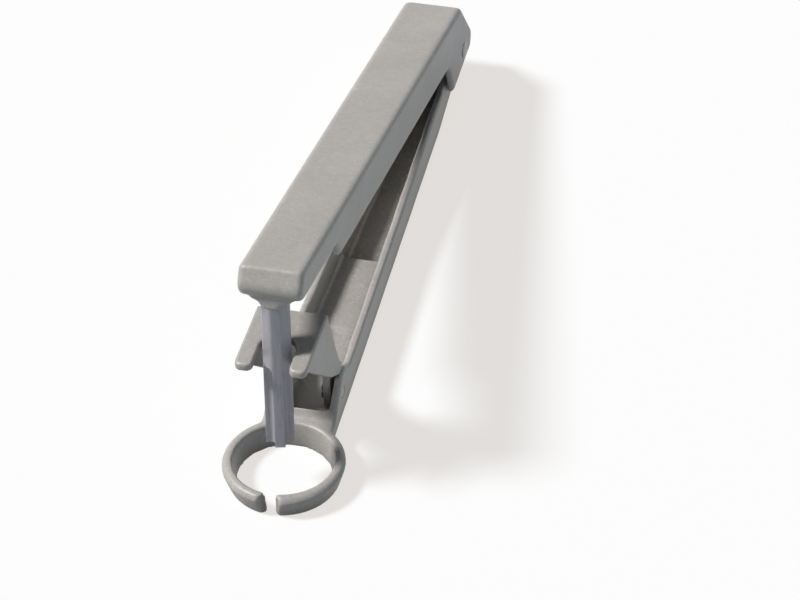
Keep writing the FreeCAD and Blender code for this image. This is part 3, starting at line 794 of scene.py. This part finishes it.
def spring_path():
    """Middle line of the spring: a straight leg, a helix about the hinge, a straight leg.

    The coil starts square to the lower leg and ends square to the upper one.
    """
    settings = bpy.context.scene.pitter_hardware
    lever_angle = bpy.context.scene.pitter_punch.lever_angle
    box_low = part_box("return_spring")[0]
    span = math.hypot(settings.leg, settings.coil_radius)
    lean = math.atan2(settings.coil_radius, settings.leg)
    lower_drop = HINGE.z - box_low.z - settings.wire_radius
    lower = math.asin(lower_drop / span) - lean
    upper = math.asin(settings.leg_rise / span) - lean + lever_angle
    turns = settings.half_turns / 2 - (lower + upper) / (2 * math.pi)
    step = np.linspace(0.0, 1.0, 160)
    angle = 2 * np.pi * turns * step + lower - np.pi / 2
    coil = np.stack([
        settings.coil_pitch * turns * (step - 0.5),
        HINGE.y + settings.coil_radius * np.cos(angle),
        HINGE.z + settings.coil_radius * np.sin(angle),
    ], axis=-1)
    run = np.linspace(1.0, 0.0, 24, endpoint=False)[:, None] * settings.leg
    first = np.array([0.0, -math.sin(angle[0]), math.cos(angle[0])])
    last = np.array([0.0, -math.sin(angle[-1]), math.cos(angle[-1])])
    return np.vstack([coil[0] - run * first, coil, coil[-1] + run[::-1] * last])


def tube(path, radius, sides=20):
    """Grid of a round tube along a path, with its ends drawn in to closed caps."""
    way = np.gradient(path, axis=0)
    way /= np.linalg.norm(way, axis=1, keepdims=True)
    aside = np.cross(way, np.array([1.0, 0.0, 0.0]))
    aside /= np.linalg.norm(aside, axis=1, keepdims=True)
    other = np.cross(way, aside)
    angle = np.linspace(0, 2 * np.pi, sides, endpoint=False)
    ring = np.cos(angle)[:, None] * aside[:, None] + np.sin(angle)[:, None] * other[:, None]
    body = path[:, None] + radius * ring
    cap = radius * np.array([0.0, 0.85])[:, None, None]
    start = path[0] + cap * ring[0]
    end = path[-1] + cap[::-1] * ring[-1]
    return np.vstack([start, body[1:-1], end])


class PITTER_OT_arm(bpy.types.Operator):
    """Build the lower casting with its cup ring"""

    bl_idname = "pitter.arm"
    bl_label = "Lower arm"

    def execute(self, context):
        grid = context.scene.pitter_casting.grid
        material = cast_material("cast_arm", grain=0.11, recess=0.95, rub=0.4)
        mesh = cast_skin("lower_arm", grid, seed=11)
        add_piece("arm_casting", mesh, "arm", material, ["lower_arm"])
        return {"FINISHED"}


class PITTER_OT_fork(bpy.types.Operator):
    """Build the forked stripper"""

    bl_idname = "pitter.fork"
    bl_label = "Stripper fork"

    def execute(self, context):
        grid = context.scene.pitter_casting.grid * 0.6
        material = cast_material("cast_fork", grain=0.10, recess=0.6, rub=0.4)
        mesh = cast_skin("stripper_fork", grid, seed=12)
        add_piece("fork_casting", mesh, "arm", material, ["stripper_fork"])
        return {"FINISHED"}


class PITTER_OT_lever(bpy.types.Operator):
    """Build the upper casting"""

    bl_idname = "pitter.lever"
    bl_label = "Lever"

    def execute(self, context):
        grid = context.scene.pitter_casting.grid
        material = cast_material("cast_lever", grain=0.11, recess=0.8, rub=0.4)
        mesh = cast_skin("upper_lever", grid, seed=13)
        add_piece("lever_casting", mesh, "lever", material, ["upper_lever"])
        return {"FINISHED"}


class PITTER_OT_punch(bpy.types.Operator):
    """Build the eight-sided punch"""

    bl_idname = "pitter.punch"
    bl_label = "Punch"

    def execute(self, context):
        add_piece(
            "punch_bar", punch_mesh(), "lever", bar_material(), ["punch"], 20.0,
        )
        return {"FINISHED"}


class PITTER_OT_hinge(bpy.types.Operator):
    """Build the hinge pin and its washer"""

    bl_idname = "pitter.hinge"
    bl_label = "Hinge pin and washer"

    def execute(self, context):
        settings = context.scene.pitter_hardware
        steel = steel_material("zinc_steel", settings.steel, (0.3, 0.45))
        low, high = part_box("hinge_pin")
        washer_low, washer_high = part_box("hinge_washer")
        head = (high.z - low.z) / 2
        height = washer_low.x - low.x
        left = domed_head(low.x + height, head, height, -1.0)
        right = domed_head(high.x - height, head, height, 1.0)
        profile = np.vstack([
            left,
            [[washer_low.x, settings.pin_radius], [high.x - height, settings.pin_radius]],
            right[::-1],
        ])
        mesh = surface("pin_steel", turned(profile, HINGE), round_columns=True)
        add_piece("pin_steel", mesh, "lever", steel, ["hinge_pin"], 35.0)
        radius = (washer_high.z - washer_low.z) / 2
        soft = settings.washer_edge
        ring = np.vstack([
            [[washer_low.x, settings.pin_radius]],
            arc_profile(washer_low.x + soft, radius - soft, soft, 180, 90),
            arc_profile(washer_high.x - soft, radius - soft, soft, 90, 0),
            [[washer_high.x, settings.pin_radius]],
        ])
        mesh = surface("washer_steel", turned(ring, HINGE), round_rows=True, round_columns=True)
        add_piece("washer_steel", mesh, "lever", steel, ["hinge_washer"], 35.0)
        return {"FINISHED"}


class PITTER_OT_rivets(bpy.types.Operator):
    """Build the two rivets that hold the fork"""

    bl_idname = "pitter.rivets"
    bl_label = "Fork rivets"

    def execute(self, context):
        settings = context.scene.pitter_hardware
        steel = steel_material("zinc_steel", settings.steel, (0.3, 0.45))
        low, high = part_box("fork_rivets")
        middle = (low + high) / 2
        head_radius = (high.z - low.z) / 2
        soft = settings.rivet_edge
        profile = np.vstack([
            domed_head(settings.rivet_seat, head_radius, settings.rivet_head, -1.0),
            [[settings.rivet_seat, settings.rivet_radius]],
            arc_profile(high.x - soft, settings.rivet_radius - soft, soft, 90, 0),
            [[high.x, 0.0]],
        ])
        grid = turned(profile, middle, 64)
        other = grid[::-1] * np.array([-1.0, 1.0, 1.0])
        for name, points in (("rivet_right", grid), ("rivet_left", other)):
            mesh = surface(name, points, round_columns=True)
            add_piece(name, mesh, "arm", steel, ["fork_rivets"], 35.0)
        return {"FINISHED"}


class PITTER_OT_spring(bpy.types.Operator):
    """Build the return spring"""

    bl_idname = "pitter.spring"
    bl_label = "Return spring"

    def execute(self, context):
        settings = context.scene.pitter_hardware
        wire = steel_material("spring_wire", settings.wire, (0.28, 0.4))
        points = tube(spring_path(), settings.wire_radius)
        mesh = surface("spring_wire", points, round_columns=True)
        mesh.shade_smooth()
        piece = placed("spring_wire", mesh, wire)
        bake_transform(piece)
        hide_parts("return_spring")
        return {"FINISHED"}


def seen_directly(tree):
    """One where the ray comes from the camera, a gloss or a clear material, else nothing."""
    path = tree.nodes.new("ShaderNodeLightPath")
    total = combine(tree, "ADD", path.outputs["Is Camera Ray"], path.outputs["Is Glossy Ray"])
    total = combine(tree, "ADD", total, path.outputs["Is Transmission Ray"])
    return combine(tree, "MINIMUM", total, 1.0)


def floor_material(settings):
    """Pale floor that is nearly white to the eye and keeps a soft shadow."""
    material, tree, shader = new_material("pale_floor")
    shader.inputs["Base Color"].default_value = settings.floor
    shader.inputs["Roughness"].default_value = 0.9
    shader.inputs["Specular IOR Level"].default_value = 0.1
    glow = node(tree, "ShaderNodeEmission")
    glow.inputs["Color"].default_value = settings.glow_colour
    strength = combine(tree, "MULTIPLY", seen_directly(tree), settings.glow)
    tree.links.new(strength, glow.inputs["Strength"])
    both = tree.nodes.new("ShaderNodeAddShader")
    tree.links.new(shader.outputs["BSDF"], both.inputs[0])
    tree.links.new(glow.outputs["Emission"], both.inputs[1])
    tree.links.new(both.outputs["Shader"], tree.nodes["Material Output"].inputs["Surface"])
    return material


def plain_world(settings):
    """White behind everything, and a weaker even light from all round."""
    world = bpy.data.worlds.new("plain_world")
    world.use_nodes = True
    tree = world.node_tree
    back = tree.nodes["Background"]
    back.inputs["Color"].default_value = settings.sky_colour
    level = combine(tree, "MULTIPLY", seen_directly(tree), 1.0 - settings.sky)
    tree.links.new(combine(tree, "ADD", level, settings.sky), back.inputs["Strength"])
    bpy.context.scene.world = world


def soft_lamp(settings, name):
    """Distant soft lamp, from the settings of that name: side, height, spread and colour."""
    data = bpy.data.lights.new(name, "SUN")
    data.angle = getattr(settings, name + "_spread")
    data.energy = getattr(settings, name)
    data.color = getattr(settings, name + "_colour")
    lamp = bpy.data.objects.new(name, data)
    bpy.context.scene.collection.objects.link(lamp)
    turn = Matrix.Rotation(getattr(settings, name + "_side"), 4, "Z")
    lean = Matrix.Rotation(math.pi / 2 - getattr(settings, name + "_height"), 4, "Y")
    lamp.matrix_world = turn @ lean


def photo_camera(settings):
    """Camera at the photograph's angle, with its roll about the line of sight."""
    data = bpy.data.cameras.new("photo_camera")
    data.sensor_width = 36.0
    data.lens = settings.lens
    data.clip_start = 0.01
    camera = bpy.data.objects.new("photo_camera", data)
    bpy.context.scene.collection.objects.link(camera)
    turn = Matrix.Rotation(settings.azimuth, 4, "Z")
    raise_up = Matrix.Rotation(math.pi / 2 - settings.elevation, 4, "X")
    spin = Matrix.Rotation(settings.roll, 4, "Z")
    away = Matrix.Translation((0.0, 0.0, settings.distance))
    camera.matrix_world = Matrix.Translation(settings.aim) @ turn @ raise_up @ away @ spin
    bpy.context.scene.camera = camera


class PITTER_OT_stage(bpy.types.Operator):
    """Build the floor, the light and the camera"""

    bl_idname = "pitter.stage"
    bl_label = "Stage"

    def execute(self, context):
        settings = context.scene.pitter_stage
        reach = settings.floor_reach
        corners = np.array([[[-reach, -reach, 0.0], [reach, -reach, 0.0]],
                            [[-reach, reach, 0.0], [reach, reach, 0.0]]])
        floor = placed("floor", surface("floor", corners), floor_material(settings))
        plain_world(settings)
        soft_lamp(settings, "key")
        soft_lamp(settings, "fill")
        photo_camera(settings)
        context.scene.view_settings.view_transform = "Standard"
        return {"FINISHED"}


PIECES = [
    PITTER_OT_arm, PITTER_OT_fork, PITTER_OT_rivets, PITTER_OT_lever, PITTER_OT_punch,
    PITTER_OT_hinge, PITTER_OT_spring, PITTER_OT_stage,
]


class PITTER_PT_panel(bpy.types.Panel):
    """Lists the settings and the pieces in the sidebar"""

    bl_idname = "PITTER_PT_panel"
    bl_label = "Lever pitter"
    bl_space_type = "VIEW_3D"
    bl_region_type = "UI"
    bl_category = "Pitter"

    def draw(self, context):
        for group in SETTINGS:
            values = getattr(context.scene, group)
            box = self.layout.box()
            for name in values.bl_rna.properties.keys():
                if name not in ("rna_type", "name"):
                    box.prop(values, name)
        for piece in PIECES:
            self.layout.operator(piece.bl_idname)


SETTINGS = {
    "pitter_casting": CastingSettings,
    "pitter_punch": PunchSettings,
    "pitter_hardware": HardwareSettings,
    "pitter_stage": StageSettings,
}


def register():
    """Register the settings, the operators and the panel."""
    for name, kind in SETTINGS.items():
        bpy.utils.register_class(kind)
        setattr(bpy.types.Scene, name, PointerProperty(type=kind))
    for kind in PIECES + [PITTER_PT_panel]:
        bpy.utils.register_class(kind)


def unregister():
    """Take the settings, the operators and the panel away again."""
    for kind in [PITTER_PT_panel] + PIECES[::-1]:
        bpy.utils.unregister_class(kind)
    for name, kind in SETTINGS.items():
        delattr(bpy.types.Scene, name)
        bpy.utils.unregister_class(kind)


def main():
    """Register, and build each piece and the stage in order."""
    register()
    for piece in PIECES:
        group, name = piece.bl_idname.split(".")
        getattr(getattr(bpy.ops, group), name)()


if __name__ == "__main__":
    main()
